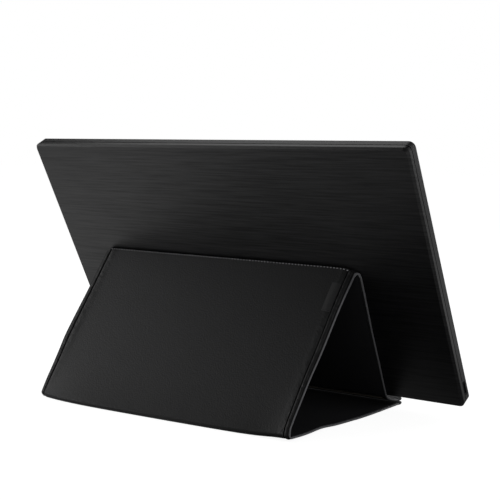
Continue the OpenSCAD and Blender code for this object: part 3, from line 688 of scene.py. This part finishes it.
def sewAlong(name, path, body, sizes):
    guide = bpy.data.meshes.new(name + "Path")
    guide.from_pydata(path, [(i, i + 1) for i in range(len(path) - 1)], [])
    carrier = bpy.data.objects.new(name + "Carrier", guide)
    scene.collection.objects.link(carrier)
    tree, sockets = seamTree()
    modifier = carrier.modifiers.new("stitches", "NODES")
    modifier.node_group = tree
    for label, value in sizes.items():
        modifier[sockets[label]] = value
    graph = bpy.context.evaluated_depsgraph_get()
    mesh = bpy.data.meshes.new_from_object(carrier.evaluated_get(graph), depsgraph=graph)
    mesh.name = name
    bpy.data.objects.remove(carrier)
    piece = bpy.data.objects.new(name, mesh)
    scene.collection.objects.link(piece)
    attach(piece, body)
    return piece


seamHalf = halfCover - seam["in"]
seamY, seamZ, _ = rowAt("top", seam["turn"], 0.0, -foldRadius - seam["proud"])
topSeam = [settle(middleX - seamHalf + i * 2 * seamHalf / 90, seamY, seamZ) for i in range(91)]
sewAlong("topStitches", topSeam, "rear_panel",
         {"Pitch": seam["pitch"] * mm, "Stitch Length": seam["stitch"] * mm,
          "Thread": seam["thread"] * mm, "Seed": seam["seed"]})
print("stitches ready")


# Plain woven label beside the edge, down from the top fold
label = {"in": 7.4, "width": 8.0, "long": 26.0, "down": 13.0, "thick": 0.4, "crown": 0.1}
labelXs = [-halfCover + label["in"] + label["width"] * i / 10 for i in range(11)]
labelRows = rowsAlong("rear", turns["rear"], lengths["rear"] - label["down"] - label["long"],
                      lengths["rear"] - label["down"], 1.4)
crown = [label["crown"] * sin(pi * i / 10) for i in range(11)]
labelPatch = sweepSheet("labelPatch",
                        [(x, -halfSheet - label["thick"] - c) for x, c in zip(labelXs, crown)],
                        [(x, -halfSheet + 0.05) for x in labelXs], labelRows, tapeFinish)
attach(labelPatch, "rear_panel")
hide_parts("woven_label")
print("label ready")


# Camera behind the stand, on the socket's side. Angles are in degrees, and the focal length is in
# pixels of a picture 500 wide
camera = {"at": (-569.0, 834.8, 212.7), "yaw": 35.465, "pitch": 4.858, "roll": 0.939,
          "focal": 1121.6}
yaw, pitch, roll = (radians(camera[key]) for key in ("yaw", "pitch", "roll"))
ahead = Vector((sin(yaw) * cos(pitch), -cos(yaw) * cos(pitch), -sin(pitch)))
level = ahead.cross(Vector((0, 0, 1))).normalized()
upright = level.cross(ahead)
right = level * cos(roll) + upright * sin(roll)
up = upright * cos(roll) - level * sin(roll)
lens = bpy.data.cameras.new("camera")
lens.sensor_width = 36
lens.lens = 36 * camera["focal"] / 500
lens.clip_start = 0.01
eye = bpy.data.objects.new("camera", lens)
scene.collection.objects.link(eye)
eye.matrix_world = Matrix(((right.x, up.x, -ahead.x, camera["at"][0] * mm),
                           (right.y, up.y, -ahead.y, camera["at"][1] * mm),
                           (right.z, up.z, -ahead.z, camera["at"][2] * mm), (0, 0, 0, 1)))
scene.camera = eye

# Pale studio: floor and walls look white. Gloss sees walls that darken overhead, and a floor painted with
# shadow and light: its brightness goes by the distance in metres from one place, dark there
studio = {
    "ambient": 0.28, "walls": 0.2, "ceiling": 0.05,
    "floorGlow": 0.92, "floorTone": 0.3,
    "paintedShadowAt": (-0.2, 0.12, 0.0),
    "paintedFloorLight": [(0.08, 0.0), (0.2, 0.32), (0.3, 0.27), (0.4, 0.46), (0.5, 0.72), (0.65, 0.8),
                  (0.8, 0.5), (1.0, 0.42)],
}
lamps = {
    "leftSoftbox": {"at": (0.99, 0.41, 0.49), "to": (0.1, 0.1, 0.06), "size": 0.6, "watts": 1.8},
    "overheadSoftbox": {"at": (0.46, -0.43, 1.09), "to": (0.0, 0.1, 0.2), "size": 0.8, "watts": 2.0},
    "rearSoftbox": {"at": (0.75, 0.9, 0.75), "to": (0.0, 0.1, 0.15), "size": 0.5, "watts": 0.95},
    "rightSoftbox": {"at": (-1.5, 0.0, 0.7), "to": (-0.12, 0.1, 0.06), "size": 0.8, "watts": 4.5},
    "frontFill": {"at": (-0.6, -1.6, 0.9), "to": (0.0, 0.0, 0.12), "size": 1.2, "watts": 6},
}
for name, lamp in lamps.items():
    light = bpy.data.lights.new(name, "AREA")
    light.shape = "SQUARE"
    light.size = lamp["size"]
    light.energy = lamp["watts"]
    holder = bpy.data.objects.new(name, light)
    scene.collection.objects.link(holder)
    holder.location = lamp["at"]
    beam = Vector(lamp["to"]) - Vector(lamp["at"])
    holder.rotation_euler = beam.to_track_quat("-Z", "Y").to_euler()


def emission(tree, kind, strength=1.0, driven=None):
    node = addNode(tree, kind, {"Color": linear("#ffffff"), "Strength": strength},
                   {"Strength": driven} if driven else None)
    return node.outputs[0]


# Gloss and glass see one look and the camera another; all else sees the third
def byRay(tree, camera, gloss, other):
    rays = addNode(tree, "ShaderNodeLightPath").outputs
    shiny = addNode(tree, "ShaderNodeMath", operation="MAXIMUM",
                    links={0: rays["Is Glossy Ray"], 1: rays["Is Transmission Ray"]})
    unseen = addNode(tree, "ShaderNodeMixShader", links={0: shiny.outputs[0], 1: other, 2: gloss})
    return addNode(tree, "ShaderNodeMixShader",
                   links={0: rays["Is Camera Ray"], 1: unseen.outputs[0], 2: camera}).outputs[0]


world = bpy.data.worlds.new("paleStudio")
scene.world = world
world.use_nodes = True
tree = world.node_tree
tree.nodes.clear()
direction = addNode(tree, "ShaderNodeTexCoord").outputs["Generated"]
upward = addNode(tree, "ShaderNodeSeparateXYZ", links={"Vector": direction}).outputs["Z"]
fading = addNode(tree, "ShaderNodeMapRange",
                 {"From Min": 0.1, "From Max": 0.5, "To Min": studio["walls"],
                  "To Max": studio["ceiling"]}, {"Value": upward}, interpolation_type="SMOOTHSTEP")
room = byRay(tree, emission(tree, "ShaderNodeBackground"),
             emission(tree, "ShaderNodeBackground", driven=fading.outputs["Result"]),
             emission(tree, "ShaderNodeBackground", studio["ambient"]))
addNode(tree, "ShaderNodeOutputWorld", links={"Surface": room})

floorMesh = bpy.data.meshes.new("floor")
floorHalf, floorDown = 12.0, 0.0002
floorMesh.from_pydata([(x * floorHalf, y * floorHalf, -floorDown)
                       for x, y in ((-1, -1), (1, -1), (1, 1), (-1, 1))], [], [(0, 1, 2, 3)])
floor = bpy.data.objects.new("floor", floorMesh)
scene.collection.objects.link(floor)
paper = bpy.data.materials.new("paperBackground")
paper.use_nodes = True
tree = paper.node_tree
tree.nodes.clear()
place = addNode(tree, "ShaderNodeTexCoord").outputs["Object"]
# painted shadow and light: gloss sees the floor dark near one place and brighter further out
away = addNode(tree, "ShaderNodeVectorMath", {1: studio["paintedShadowAt"]}, {0: place}, operation="DISTANCE")
fading = addNode(tree, "ShaderNodeValToRGB", links={"Fac": away.outputs["Value"]})
stops = fading.color_ramp.elements
for k, (reach, look) in enumerate(studio["paintedFloorLight"]):
    stop = stops[k] if k < 2 else stops.new(reach)
    stop.position, stop.color = reach, (look, look, look, 1)
matt = addNode(tree, "ShaderNodeBsdfDiffuse", {"Color": linear("#e8e8e8")}).outputs[0]
tone = addNode(tree, "ShaderNodeBsdfDiffuse", {"Color": [studio["floorTone"]] * 3 + [1]}).outputs[0]
lit = addNode(tree, "ShaderNodeAddShader",
              links={0: tone, 1: emission(tree, "ShaderNodeEmission", studio["floorGlow"])}).outputs[0]
ground = byRay(tree, lit, emission(tree, "ShaderNodeEmission", driven=fading.outputs["Color"]), matt)
addNode(tree, "ShaderNodeOutputMaterial", links={"Surface": ground})
floorMesh.materials.append(paper)
scene.view_settings.view_transform = "Standard"
print("studio ready")
